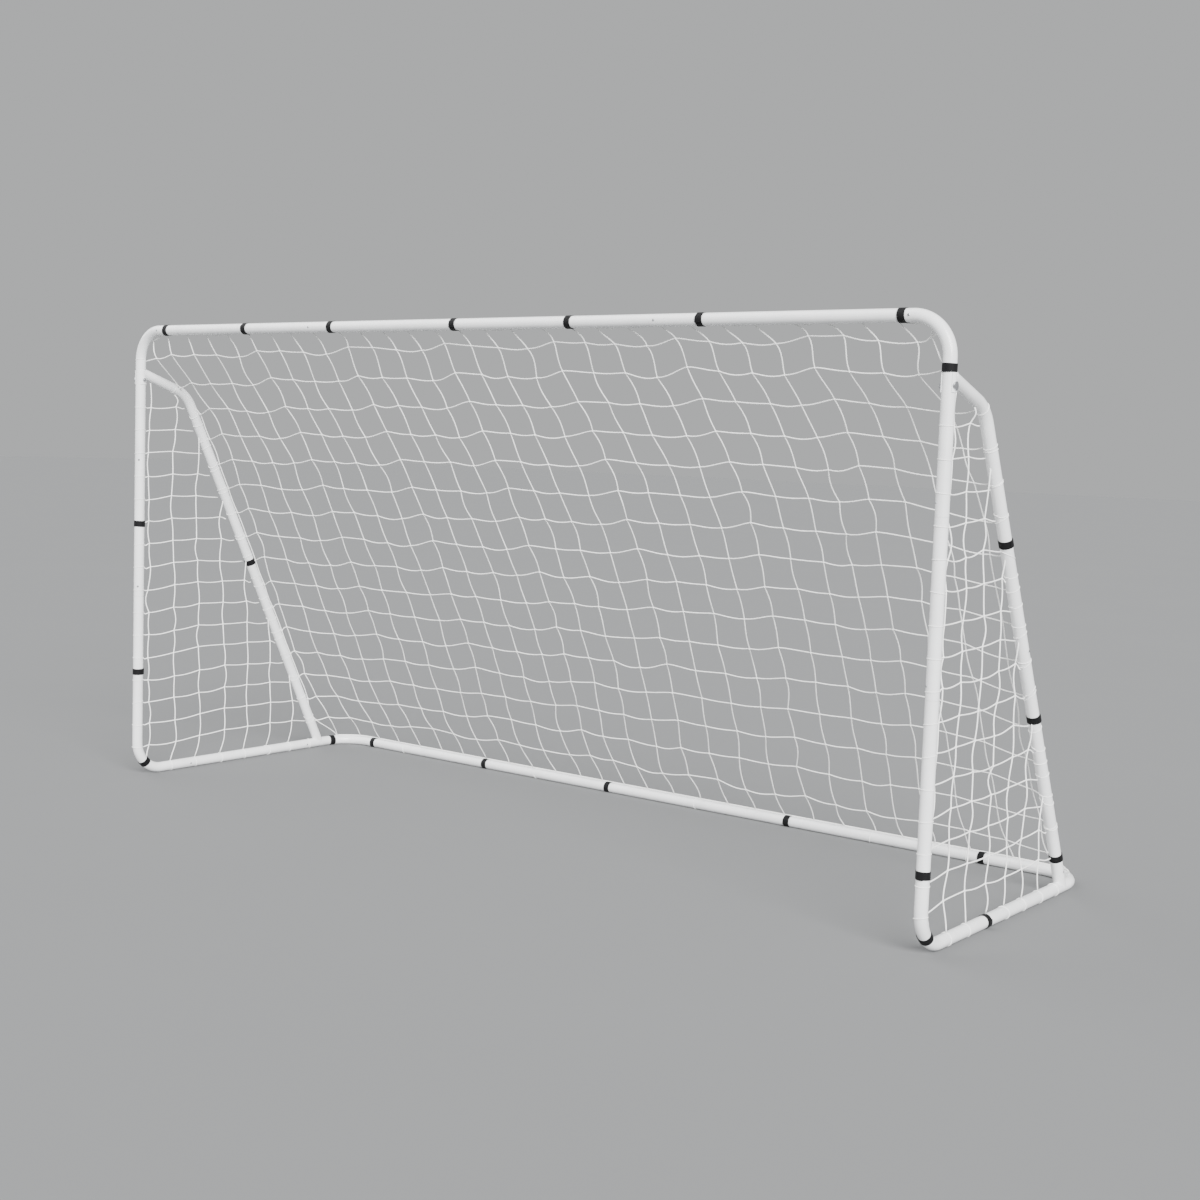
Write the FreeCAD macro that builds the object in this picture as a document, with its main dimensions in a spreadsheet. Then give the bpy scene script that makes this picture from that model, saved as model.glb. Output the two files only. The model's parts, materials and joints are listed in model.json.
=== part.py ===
import FreeCAD, Part
import Sketcher
import os
import re

# Soccer goal frame: a push-fit frame of round steel tube with a hung net.
#
# Millimetres. +X runs along the crossbar, +Y points to the back of the goal, +Z is up. The origin is
# on the ground, midway between the posts and midway between the crossbar and the rear ground bar.
# The frame is a closed loop: two posts under a crossbar, a base on the ground, and a bent brace on
# each side. The sections push together, each with a reduced spigot in the next one's plain end, and
# a sprung snap button locks every joint.

doc = FreeCAD.newDocument("SoccerGoal")

# Every size that can be set by itself: name, value, what it is.
SIZES = (
    ("post_spacing", 3560, "between the posts, centre to centre"),
    ("outer_height", 1830, "ground to the top of the crossbar"),
    ("base_depth", 1180, "post to rear bar, centre to centre"),
    ("tube_diameter", 40, "outside of every tube"),
    ("tube_wall", 1.2, "wall of every tube"),
    ("fit_gap", 0.2, "radial play of a spigot in its socket"),
    ("spigot_length", 75, "depth of every push fit but those in the top corners"),
    ("corner_spigot_over", 5, "spigot past the start of a top corner's bend"),
    ("seam_gap", 0.6, "open line at each seam"),
    ("button_offset", 40, "seam to the snap button"),
    ("top_bend_radius", 118, "centre line of the top corners"),
    ("bottom_bend_radius", 118, "centre line of the bottom corners"),
    ("rear_bend_radius", 135, "centre line of the rear corners"),
    ("brace_bend_radius", 130, "centre line of the brace bend"),
    ("corner_bar_arm", 46, "top corner's straight arm along the crossbar"),
    ("corner_post_arm", 438, "top corner's straight arm down the post"),
    ("post_seam_height", 741, "ground to the lower seam of a post"),
    ("ground_front_arm", 182, "bottom corner's straight arm on the ground"),
    ("rear_seam_inset", 225, "rear bar's centre to the seam in front of it"),
    ("rear_bar_arm", 115, "rear corner's straight arm along the rear bar"),
    ("centre_length", 1638, "seam to seam, middle section of either bar"),
    ("brace_head_drop", 165, "crossbar's centre down to the brace head"),
    ("brace_bend_out", 230, "post's centre back to the brace bend"),
    ("brace_bend_drop", 80, "brace head down to the brace bend"),
    ("brace_foot_inset", 178, "rear bar's centre to the brace foot"),
    ("brace_seam_height", 800, "ground to the brace's seam"),
    ("stub_button_reach", 65, "side tube's centre up to the foot's button"),
    ("stub_tip", 50, "foot's button to the end of the stub"),
    ("button_diameter", 7.5, "snap button"),
    ("button_gap", 0.25, "radial play of a button in its hole"),
    ("button_proud", 1.5, "button above the tube"),
    ("flange_diameter", 10.4, "button's flange inside the spigot"),
    ("flange_depth", 1, "thickness of the flange"),
    ("flange_gap", 0.3, "flange to the spigot's wall"),
    ("leaf_length", 41, "each leg of the button's spring"),
    ("leaf_width", 7, "width of the spring strip"),
    ("leaf_depth", 0.8, "thickness of the spring strip"),
    ("leaf_angle", 15, "lean of each leg of the spring"),
    ("post_button_angle", 50, "post button, from the inside to the front"),
    ("saddle_height", 55, "saddle of the brace head"),
    ("saddle_drop", 18, "brace bolt down to the saddle's lower edge"),
    ("saddle_depth", 2, "thickness of the saddle"),
    ("saddle_gap", 0.1, "saddle to the post"),
    ("saddle_wrap", 262, "degrees of the post that the saddle covers"),
    ("bolt_drop", 30, "brace head's centre line down to its bolt"),
    ("bolt_diameter", 8, "brace bolt"),
    ("bolt_gap", 0.2, "radial play of the bolt in its holes"),
    ("bolt_head_diameter", 26, "domed head of the brace bolt"),
    ("bolt_head_height", 5, "bolt head above the saddle"),
    ("bolt_head_dome", 30, "radius of the head's dome"),
    ("bolt_head_room", 0.3, "bolt head to the brace's end"),
    ("nut_diameter", 15, "nut across its corners"),
    ("nut_height", 5, "nut above the saddle"),
    ("strap_width", 24, "hook-and-loop strap"),
    ("strap_depth", 1.5, "thickness of a strap"),
    ("strap_gap", 0.3, "strap to its tube"),
    ("net_depth", 2, "thickness of a net panel's solid"),
    ("net_gap", 0.3, "net panel to a strap"),
    ("net_corner_across", 160, "back net's cut corner, along the bar"),
    ("net_corner_along", 190, "back net's cut corner, down its slope"),
    ("left_elbow_strap", 45, "degrees round the left bottom bend"),
    ("right_elbow_strap", 45, "degrees round the right bottom bend"),
    ("rear_elbow_strap", 14, "degrees round the left rear bend"),
    ("side_tube_strap", 424, "post to the strap on the right side tube"),
)

# Straps on straight runs: where each is counted from, and how far it is from there.
CROSSBAR_STRAPS = (("left", 170), ("left", 639), ("middle", -673), ("middle", -69),
                   ("middle", 433), ("right", 833), ("right", 149))
REAR_BAR_STRAPS = (("left", 184), ("left", 869), ("middle", -238), ("middle", 622), ("right", 360))
LEFT_POST_STRAPS = (("ground", 431), ("ground", 1036))
RIGHT_POST_STRAPS = (("ground", 242), ("top", 145))
LEFT_BRACE_STRAPS = (("ground", 862),)
RIGHT_BRACE_STRAPS = (("ground", 130), ("ground", 614), ("ground", 1171))

# Radii and places that follow from the sizes.
TUBE_R = "(tube_diameter / 2)"
BORE_R = "(tube_diameter / 2 - tube_wall)"
SPIGOT_R = "(tube_diameter / 2 - tube_wall - fit_gap)"
SPIGOT_BORE_R = "(tube_diameter / 2 - 2 * tube_wall - fit_gap)"
HOLE_R = "(button_diameter / 2 + button_gap)"
BOLT_HOLE_R = "(bolt_diameter / 2 + bolt_gap)"
SADDLE_BORE_R = "(tube_diameter / 2 + saddle_gap)"
SADDLE_R = "(tube_diameter / 2 + saddle_gap + saddle_depth)"
STRAP_BORE_R = "(tube_diameter / 2 + strap_gap)"
STRAP_R = "(tube_diameter / 2 + strap_gap + strap_depth)"
NET_EDGE_R = "(tube_diameter / 2 + strap_gap + strap_depth + net_gap)"
FLANGE_TOP = f"(sqrt({SPIGOT_BORE_R} ^ 2 - (flange_diameter / 2) ^ 2) - flange_gap)"

POST_X = "(post_spacing / 2)"
FRONT_Y = "(-base_depth / 2)"
REAR_Y = "(base_depth / 2)"
GROUND_Z = "(tube_diameter / 2)"
TOP_Z = "(outer_height - tube_diameter / 2)"
UPPER_SEAM_Z = f"({TOP_Z} - top_bend_radius - corner_post_arm)"
BAR_SEAM_X = f"({POST_X} - top_bend_radius - corner_bar_arm)"
REAR_SEAM_X = f"({POST_X} - rear_bend_radius - rear_bar_arm)"
CENTRE_SEAM_X = "(centre_length / 2)"
FRONT_SEAM_Y = f"({FRONT_Y} + bottom_bend_radius + ground_front_arm)"
BACK_SEAM_Y = f"({REAR_Y} - rear_seam_inset)"

# The brace's centre line, in its own upright plane over the side ground tube.
HEAD_Z = f"({TOP_Z} - brace_head_drop)"
BOLT_Z = f"({HEAD_Z} - bolt_drop)"
BEND_Y = f"({FRONT_Y} + brace_bend_out)"
BEND_Z = f"({HEAD_Z} - brace_bend_drop)"
FOOT_Y = f"({REAR_Y} - brace_foot_inset)"
HEAD_SLOPE = "atan2(brace_bend_drop; brace_bend_out)"
LEG_LEAN = f"atan2({FOOT_Y} - {BEND_Y}; {BEND_Z} - {GROUND_Z})"
BRACE_BEND = f"(90 deg - {HEAD_SLOPE} - {LEG_LEAN})"
BEND_TRIM = f"(brace_bend_radius * tan({BRACE_BEND} / 2))"
LEG_LENGTH = f"(({BEND_Z} - {GROUND_Z}) / cos({LEG_LEAN}))"
LEG_TO_SEAM = f"((brace_seam_height - {GROUND_Z}) / cos({LEG_LEAN}))"
BRACE_SEAM_Y = f"({FOOT_Y} - (brace_seam_height - {GROUND_Z}) * tan({LEG_LEAN}))"

# Turns. A tube lies along its own Z, and its buttons face its own X unless a piece says otherwise.
AS_MADE = "rotationz(0 deg)"
ABOUT = "rotationz(180 deg)"
ALONG_X_FACING_FRONT = "rotationx(-90 deg) * rotationy(90 deg)"
ALONG_X_FACING_BACK = "rotationx(90 deg) * rotationy(90 deg)"
ALONG_Y = "rotationx(-90 deg)"
LEANING = f"rotationx({LEG_LEAN})"
FACING_X = "rotationy(90 deg)"

SIDES = (("left", -1), ("right", 1))
CLEAR_CUT = 1


def bind(item, prop, text):
    """Tie a property to the sheet. Every word with an underscore in it is one of the sheet's names."""
    item.setExpression(prop, re.sub(r"\b[a-z]+(?:_[a-z0-9]+)+\b", r"Dims.\g<0>", text))


def place(item, at, turn=AS_MADE):
    """Bind a piece's whole placement: where its origin lies, and how it is turned."""
    bind(item, "Placement", f"placement(vector({at[0]}; {at[1]}; {at[2]}); {turn})")
    return item


def make_sheet():
    """The driving sizes, one row each."""
    sheet = doc.addObject("Spreadsheet::Sheet", "Dims")
    rows = list(SIZES)
    for run, straps in (("crossbar", CROSSBAR_STRAPS), ("rear", REAR_BAR_STRAPS),
                        ("leftpost", LEFT_POST_STRAPS), ("rightpost", RIGHT_POST_STRAPS),
                        ("leftbrace", LEFT_BRACE_STRAPS), ("rightbrace", RIGHT_BRACE_STRAPS)):
        for number, (origin, reach) in enumerate(straps, 1):
            rows.append((f"{run}_strap{number}", reach, f"{run} strap {number}, from the {origin}"))
    for row, (alias, value, note) in enumerate(rows, 1):
        sheet.set(f"A{row}", note)
        sheet.set(f"B{row}", str(value))
        sheet.setAlias(f"B{row}", alias)


def cylinder(name, radius, length, at=("0", "0", "0"), turn=AS_MADE, sweep=None):
    """A cylinder along its own Z, or a sector of one."""
    solid = doc.addObject("Part::Cylinder", name)
    bind(solid, "Radius", radius)
    bind(solid, "Height", length)
    if sweep:
        bind(solid, "Angle", sweep)
    return place(solid, at, turn)


def bend(name, centre_radius, tube_radius, sweep, at, turn):
    """A stretch of bent round bar: a sector of a torus about its own Z, from its own X."""
    solid = doc.addObject("Part::Torus", name)
    bind(solid, "Radius1", centre_radius)
    bind(solid, "Radius2", tube_radius)
    bind(solid, "Angle3", sweep)
    return place(solid, at, turn)


def box(name, size, at, turn=AS_MADE):
    """A box from its own corner."""
    solid = doc.addObject("Part::Box", name)
    for prop, text in zip(("Length", "Width", "Height"), size):
        bind(solid, prop, text)
    return place(solid, at, turn)


def fuse(name, solids):
    """One solid from several that touch."""
    if len(solids) == 1:
        return solids[0]
    joined = doc.addObject("Part::MultiFuse", name)
    joined.Shapes = solids
    return joined


def cut(name, base, tools):
    """A solid with the tools taken out of it."""
    result = doc.addObject("Part::Cut", name)
    result.Base = base
    result.Tool = fuse(f"{name}_tools", tools)
    return result


def cut_in_turn(name, base, tools):
    """A solid with the tools taken out one after another."""
    for number, tool in enumerate(tools[:-1], 1):
        base = cut(f"{name}_step{number}", base, [tool])
    return cut(name, base, [tools[-1]])


def group(name, solids):
    """Identical pieces that share one node, each a solid of its own."""
    together = doc.addObject("Part::Compound", name)
    together.Links = solids
    return together


def drill(name, along, turn):
    """The hole for a snap button through one wall, out from the tube's axis."""
    return cylinder(name, HOLE_R, f"{TUBE_R} + {CLEAR_CUT}", along, turn)


def spigot_parts(name, seam, outward, reach="spigot_length"):
    """A reduced end that reaches `outward` (1 or -1 along Z) from a seam: its outside and its bore."""
    outside_start = f"{seam} - seam_gap - tube_wall" if outward > 0 else f"{seam} - {reach}"
    outside_length = f"{reach} + seam_gap + tube_wall"
    bore_start = f"{seam} - seam_gap - 2 * tube_wall" if outward > 0 else f"{seam} - {reach} - {CLEAR_CUT}"
    bore_length = f"{reach} + seam_gap + 2 * tube_wall + {CLEAR_CUT}"
    outside = cylinder(f"{name}_spigot", SPIGOT_R, outside_length, ("0", "0", outside_start))
    bore = cylinder(f"{name}_spigot_bore", SPIGOT_BORE_R, bore_length, ("0", "0", bore_start))
    return outside, bore


def straight_tube(name, length, ends, facing=AS_MADE, cutters=(), reach=("spigot_length", "spigot_length")):
    """A section from seam to seam along Z. Each end is a 'spigot', a 'socket' or 'coped'."""
    outside = []
    tools = list(cutters)
    start, stop = "0", length
    bore_start, bore_stop = f"-{CLEAR_CUT}", f"{length} + {CLEAR_CUT}"
    if ends[0] == "spigot":
        shell, bore = spigot_parts(f"{name}_start", "0", -1, reach[0])
        outside.append(shell)
        tools.append(bore)
        start = "seam_gap"
        bore_start = "seam_gap + 2 * tube_wall"
    if ends[1] == "spigot":
        shell, bore = spigot_parts(f"{name}_end", length, 1, reach[1])
        outside.append(shell)
        tools.append(bore)
        stop = f"{length} - seam_gap"
        bore_stop = f"{length} - seam_gap - 2 * tube_wall"
    outside.append(cylinder(f"{name}_wall", TUBE_R, f"{stop} - ({start})", ("0", "0", start)))
    tools.append(cylinder(f"{name}_bore", BORE_R, f"{bore_stop} - ({bore_start})", ("0", "0", bore_start)))
    holes = {"spigot": "-button_offset", "socket": "button_offset"}
    if ends[0] in holes:
        spot = ("0", "0", holes[ends[0]])
        tools.append(drill(f"{name}_start_hole", spot, f"{facing} * {FACING_X}"))
    if ends[1] in holes:
        spot = ("0", "0", f"{length} - ({holes[ends[1]]})")
        tools.append(drill(f"{name}_end_hole", spot, f"{facing} * {FACING_X}"))
    return cut(name, fuse(f"{name}_outside", outside), tools)


def bent_run(name, tube_radius, first, radius, sweep, second, trim_start="0", over="0"):
    """Three touching solids: an arm up Z, a bend toward X, and a second arm."""
    after = (f"{radius} * (1 - cos({sweep}))", "0", f"{first} + {radius} * sin({sweep})")
    return [
        cylinder(f"{name}_first", tube_radius, f"{first} - ({trim_start})", ("0", "0", trim_start)),
        bend(f"{name}_bend", radius, tube_radius, sweep, (radius, "0", first),
             "rotationy(180 deg) * rotationx(-90 deg)"),
        cylinder(f"{name}_second", tube_radius, f"{second} + {over}", after, f"rotationy({sweep})"),
    ]


def bent_tube(name, first, radius, sweep, second, start, hole_turns, cutters=()):
    """A bent section. `start` is a 'spigot' or a 'socket'; the far end is plain."""
    trim, bore_trim = "0", f"-{CLEAR_CUT}"
    shells = []
    tools = list(cutters)
    if start == "spigot":
        shell, bore = spigot_parts(f"{name}_start", "0", -1)
        shells.append(shell)
        tools.append(bore)
        trim = "seam_gap"
        bore_trim = "seam_gap + 2 * tube_wall"
    shells += bent_run(f"{name}_wall", TUBE_R, first, radius, sweep, second, trim)
    bores = bent_run(f"{name}_bore", BORE_R, first, radius, sweep, second, bore_trim, str(CLEAR_CUT))
    tools.append(fuse(f"{name}_bores", bores))
    side = "-button_offset" if start == "spigot" else "button_offset"
    tools.append(drill(f"{name}_start_hole", ("0", "0", side), hole_turns[0]))
    if len(hole_turns) > 1:
        spot = (f"{radius} + {second} - button_offset", "0", f"{first} + {radius}")
        tools.append(drill(f"{name}_end_hole", spot, hole_turns[1]))
    return cut_in_turn(name, fuse(f"{name}_outside", shells), tools)


def bars():
    """The crossbar and the rear ground bar: a plain middle section between two spigoted ones."""
    nodes = []
    for bar, y, z, seam_x, end_reach, turn in (
            ("crossbar", FRONT_Y, TOP_Z, BAR_SEAM_X, "(corner_bar_arm + corner_spigot_over)",
             ALONG_X_FACING_FRONT),
            ("rear_bar", REAR_Y, GROUND_Z, REAR_SEAM_X, "spigot_length", ALONG_X_FACING_BACK)):
        outer = f"{seam_x} - {CENTRE_SEAM_X}"
        left = straight_tube(f"{bar}_left", outer, ("spigot", "spigot"), reach=(end_reach, "spigot_length"))
        centre = straight_tube(f"{bar}_centre", "centre_length", ("socket", "socket"))
        right = straight_tube(f"{bar}_right", outer, ("spigot", "spigot"), reach=("spigot_length", end_reach))
        nodes.append(place(left, (f"-{seam_x}", y, z), turn))
        nodes.append(place(centre, (f"-{CENTRE_SEAM_X}", y, z), turn))
        nodes.append(place(right, (CENTRE_SEAM_X, y, z), turn))
    return nodes


def top_corner(side, sign):
    """A post's upper end and the bend into the crossbar, with the cross hole for the brace bolt."""
    front = "-1" if sign < 0 else "1"
    hole_turns = (f"rotationz({front} * post_button_angle * 1 deg) * {FACING_X}",
                  f"rotationz({front} * 90 deg) * {FACING_X}")
    reach = f"({TUBE_R} + {CLEAR_CUT})"
    bolt_hole = cylinder(f"{side}_top_corner_bolt_hole", BOLT_HOLE_R, f"2 * {reach}",
                         (f"-{reach}", "0", f"{BOLT_Z} - {UPPER_SEAM_Z}"), FACING_X)
    tube = bent_tube(f"{side}_top_corner_tube", "corner_post_arm", "top_bend_radius", "90 deg",
                     "corner_bar_arm", "socket", hole_turns, [bolt_hole])
    return place(tube, (f"{sign} * {POST_X}", FRONT_Y, UPPER_SEAM_Z), AS_MADE if sign < 0 else ABOUT)


def middle_post(side, sign):
    """The straight middle section of a post."""
    tube = straight_tube(f"{side}_middle_post", f"{UPPER_SEAM_Z} - post_seam_height", ("socket", "spigot"))
    facing = "-post_button_angle" if sign < 0 else "180 + post_button_angle"
    return place(tube, (f"{sign} * {POST_X}", FRONT_Y, "post_seam_height"),
                 f"rotationz(({facing}) * 1 deg)")


def bottom_corner(side, sign):
    """A post's lower end and the bend onto the ground. It is built from its top downwards."""
    inward = "1" if sign < 0 else "-1"
    hole_turns = (f"rotationz({inward} * (90 + post_button_angle) * 1 deg) * {FACING_X}",
                  f"rotationz({inward} * 90 deg) * {FACING_X}")
    tube = bent_tube(f"{side}_bottom_corner_tube", f"(post_seam_height - {GROUND_Z} - bottom_bend_radius)",
                     "bottom_bend_radius", "90 deg", "ground_front_arm", "spigot", hole_turns)
    return place(tube, (f"{sign} * {POST_X}", FRONT_Y, "post_seam_height"),
                 "rotationz(90 deg) * rotationx(180 deg)")


def side_tube(side, sign):
    """The straight tube on the ground between the front and rear corners."""
    tube = straight_tube(f"{side}_side_ground_tube", f"{BACK_SEAM_Y} - {FRONT_SEAM_Y}",
                         ("spigot", "socket"), AS_MADE if sign < 0 else ABOUT)
    return place(tube, (f"{sign} * {POST_X}", FRONT_SEAM_Y, GROUND_Z), ALONG_Y)


def rear_corner(side, sign):
    """The bend from a side tube into the rear bar."""
    hole_turns = (FACING_X, AS_MADE)
    tube = bent_tube(f"{side}_rear_corner_tube", "(rear_seam_inset - rear_bend_radius)", "rear_bend_radius",
                     "90 deg", "rear_bar_arm", "spigot", hole_turns)
    turn = ALONG_Y if sign < 0 else f"{ALONG_Y} * {ABOUT}"
    return place(tube, (f"{sign} * {POST_X}", BACK_SEAM_Y, GROUND_Z), turn)


def foot_cope(name, radius):
    """The side ground tube's outline, which a foot on it is cut to fit. In the brace's own frame."""
    half = "tube_diameter"
    start = ("0", f"-{half} * cos({LEG_LEAN})", f"{half} * sin({LEG_LEAN})")
    return cylinder(name, radius, f"2 * {half}", start, f"rotationx(-({LEG_LEAN})) * {ALONG_Y}")


def brace_leg(side, sign):
    """The brace's straight lower section, coped to sit on the side ground tube."""
    name = f"{side}_brace_leg"
    facing = ABOUT if sign < 0 else AS_MADE
    hole = drill(f"{name}_foot_hole", ("0", "0", "stub_button_reach"), f"{facing} * {FACING_X}")
    tube = straight_tube(name, LEG_TO_SEAM, ("coped", "spigot"), facing,
                         [hole, foot_cope(f"{name}_cope", TUBE_R)])
    return place(tube, (f"{sign} * {POST_X}", FOOT_Y, GROUND_Z), LEANING)


def brace_stub(side, sign):
    """The short tube welded to the rear corner, which the brace leg slides over."""
    name = f"{side}_brace_stub"
    facing = ABOUT if sign < 0 else AS_MADE
    length = "stub_button_reach + stub_tip"
    wall = cylinder(f"{name}_wall", SPIGOT_R, length)
    tools = [cylinder(f"{name}_bore", SPIGOT_BORE_R, f"{length} + {CLEAR_CUT}"),
             drill(f"{name}_hole", ("0", "0", "stub_button_reach"), f"{facing} * {FACING_X}"),
             foot_cope(f"{name}_cope", TUBE_R)]
    return place(cut(name, wall, tools), (f"{sign} * {POST_X}", FOOT_Y, GROUND_Z), LEANING)


def brace_top(side, sign):
    """The brace's upper section, bent forward to the post and coped to its saddle."""
    name = f"{side}_brace_top"
    first = f"({LEG_LENGTH} - {LEG_TO_SEAM} - {BEND_TRIM})"
    second = f"(brace_bend_out / cos({HEAD_SLOPE}) - {BEND_TRIM})"
    outward = "-90 deg" if sign < 0 else "90 deg"
    half = "2 * tube_diameter"
    tip_x = f"brace_bend_radius * (1 - cos({BRACE_BEND})) + {second} * sin({BRACE_BEND})"
    tip_z = f"{first} + brace_bend_radius * sin({BRACE_BEND}) + {second} * cos({BRACE_BEND})"
    post = cylinder(f"{name}_cope", SADDLE_R, f"2 * {half}",
                    (f"{tip_x} + {half} * sin({LEG_LEAN})", "0", f"{tip_z} - {half} * cos({LEG_LEAN})"),
                    f"rotationz(90 deg) * rotationx(-({LEG_LEAN}))")
    bolt_head = cylinder(f"{name}_bolt_room", "bolt_head_diameter / 2 + bolt_head_room", f"2 * {half}",
                         (f"{tip_x} + bolt_drop * sin({LEG_LEAN})", f"-{half}",
                          f"{tip_z} - bolt_drop * cos({LEG_LEAN})"), ALONG_Y)
    tube = bent_tube(name, first, "brace_bend_radius", BRACE_BEND, second, "socket",
                     (f"rotationz({outward}) * {FACING_X}",), [post, bolt_head])
    return place(tube, (f"{sign} * {POST_X}", BRACE_SEAM_Y, "brace_seam_height"),
                 f"{LEANING} * rotationz(-90 deg)")


def brace_saddle(side, sign):
    """The pressed steel cheeks round the back of a post, welded to the brace head."""
    name = f"{side}_brace_saddle"
    start = "rotationz((90 - saddle_wrap / 2) * 1 deg)"
    shell = cylinder(f"{name}_shell", SADDLE_R, "saddle_height", turn=start, sweep="saddle_wrap")
    reach = f"({SADDLE_R} + {CLEAR_CUT})"
    tools = [cylinder(f"{name}_bore", SADDLE_BORE_R, f"saddle_height + 2 * {CLEAR_CUT}",
                      ("0", "0", f"-{CLEAR_CUT}")),
             cylinder(f"{name}_bolt_hole", BOLT_HOLE_R, f"2 * {reach}",
                      (f"-{reach}", "0", "saddle_drop"), FACING_X)]
    return place(cut(name, shell, tools),
                 (f"{sign} * {POST_X}", FRONT_Y, f"{BOLT_Z} - saddle_drop"))


def brace_bolt(side, sign):
    """A round-headed bolt through saddle and post, its head outside and fitted to the saddle's curve."""
    name = f"{side}_brace_bolt"
    top = f"{SADDLE_R} + bolt_head_height"
    disc = cylinder(f"{name}_disc", "bolt_head_diameter / 2", f"{top} - {TUBE_R} / 2",
                    (f"{TUBE_R} / 2", "0", "0"), FACING_X)
    ball = doc.addObject("Part::Sphere", f"{name}_ball")
    bind(ball, "Radius", "bolt_head_dome")
    place(ball, (f"{top} - bolt_head_dome", "0", "0"))
    dome = doc.addObject("Part::Common", f"{name}_dome")
    dome.Base = disc
    dome.Tool = ball
    seat = cylinder(f"{name}_seat", SADDLE_R, "2 * bolt_head_diameter", ("0", "0", "-bolt_head_diameter"))
    head = cut(f"{name}_head", dome, [seat])
    far = f"({SADDLE_R} + nut_height + {CLEAR_CUT})"
    shank = cylinder(f"{name}_shank", "bolt_diameter / 2", f"{far} + {SADDLE_R} + bolt_head_height / 2",
                     (f"-{far}", "0", "0"), FACING_X)
    bolt = fuse(f"{name}_solid", [head, shank])
    return place(bolt, (f"{sign} * {POST_X}", FRONT_Y, BOLT_Z), AS_MADE if sign > 0 else ABOUT)


def brace_nut(side, sign):
    """The hexagon nut on the inner end of a brace bolt, seated on the saddle's curve."""
    name = f"{side}_brace_nut"
    hexagon = doc.addObject("Part::Prism", f"{name}_hexagon")
    hexagon.Polygon = 6
    bind(hexagon, "Circumradius", "nut_diameter / 2")
    bind(hexagon, "Height", f"{SADDLE_R} + nut_height - {TUBE_R} / 2")
    place(hexagon, (f"{TUBE_R} / 2", "0", "0"), FACING_X)
    tools = [cylinder(f"{name}_bore", "bolt_diameter / 2 + bolt_gap / 4", f"{SADDLE_R} + 2 * nut_height",
                      turn=FACING_X),
             cylinder(f"{name}_seat", SADDLE_R, "2 * nut_diameter", ("0", "0", "-nut_diameter"))]
    return place(cut(f"{name}_solid", hexagon, tools), (f"{sign} * {POST_X}", FRONT_Y, BOLT_Z),
                 ABOUT if sign > 0 else AS_MADE)


def snap_button(name, at, turn):
    """A domed button on its flange and its spring leg. It faces its own Z; the leg runs along X."""
    top = f"({TUBE_R} + button_proud)"
    pin = cylinder(f"{name}_pin", "button_diameter / 2", f"{top} - {FLANGE_TOP} - button_proud / 2",
                   ("0", "0", FLANGE_TOP))
    tip = doc.addObject("Part::Cone", f"{name}_tip")
    bind(tip, "Radius1", "button_diameter / 2")
    bind(tip, "Radius2", "button_diameter / 2 - button_proud / 2")
    bind(tip, "Height", "button_proud / 2")
    place(tip, ("0", "0", f"{top} - button_proud / 2"))
    flange = cylinder(f"{name}_flange", "flange_diameter / 2", "flange_depth",
                      ("0", "0", f"{FLANGE_TOP} - flange_depth"))
    lift = "flange_diameter / 2 * tan(leaf_angle * 1 deg)"
    leaf = box(f"{name}_leaf", ("leaf_length", "leaf_width", "leaf_depth"),
               ("-flange_diameter / 2", "-leaf_width / 2", f"{FLANGE_TOP} - flange_depth - leaf_depth + {lift}"),
               "rotationy(leaf_angle * 1 deg)")
    return place(fuse(name, [pin, tip, flange, leaf]), at, turn)


def spring_leg(name, at, turn):
    """The fixed leg of a button's V-shaped spring, resting on the far wall of the spigot."""
    rest = f"(sqrt({SPIGOT_BORE_R} ^ 2 - (leaf_width / 2) ^ 2) - flange_gap / 3)"
    leaf = box(f"{name}_leaf", ("leaf_length", "leaf_width", "leaf_depth"),
               ("-flange_diameter / 2", "-leaf_width / 2", f"-{rest}"), "rotationy(-leaf_angle * 1 deg)")
    bow = box(f"{name}_bow", ("leaf_depth", "leaf_width", "button_diameter"),
              ("leaf_length * cos(leaf_angle * 1 deg) - flange_diameter / 2 - leaf_depth", "-leaf_width / 2",
               f"leaf_length * sin(leaf_angle * 1 deg) - {rest} - leaf_depth / 2"))
    return place(fuse(name, [leaf, bow]), at, turn)


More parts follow.
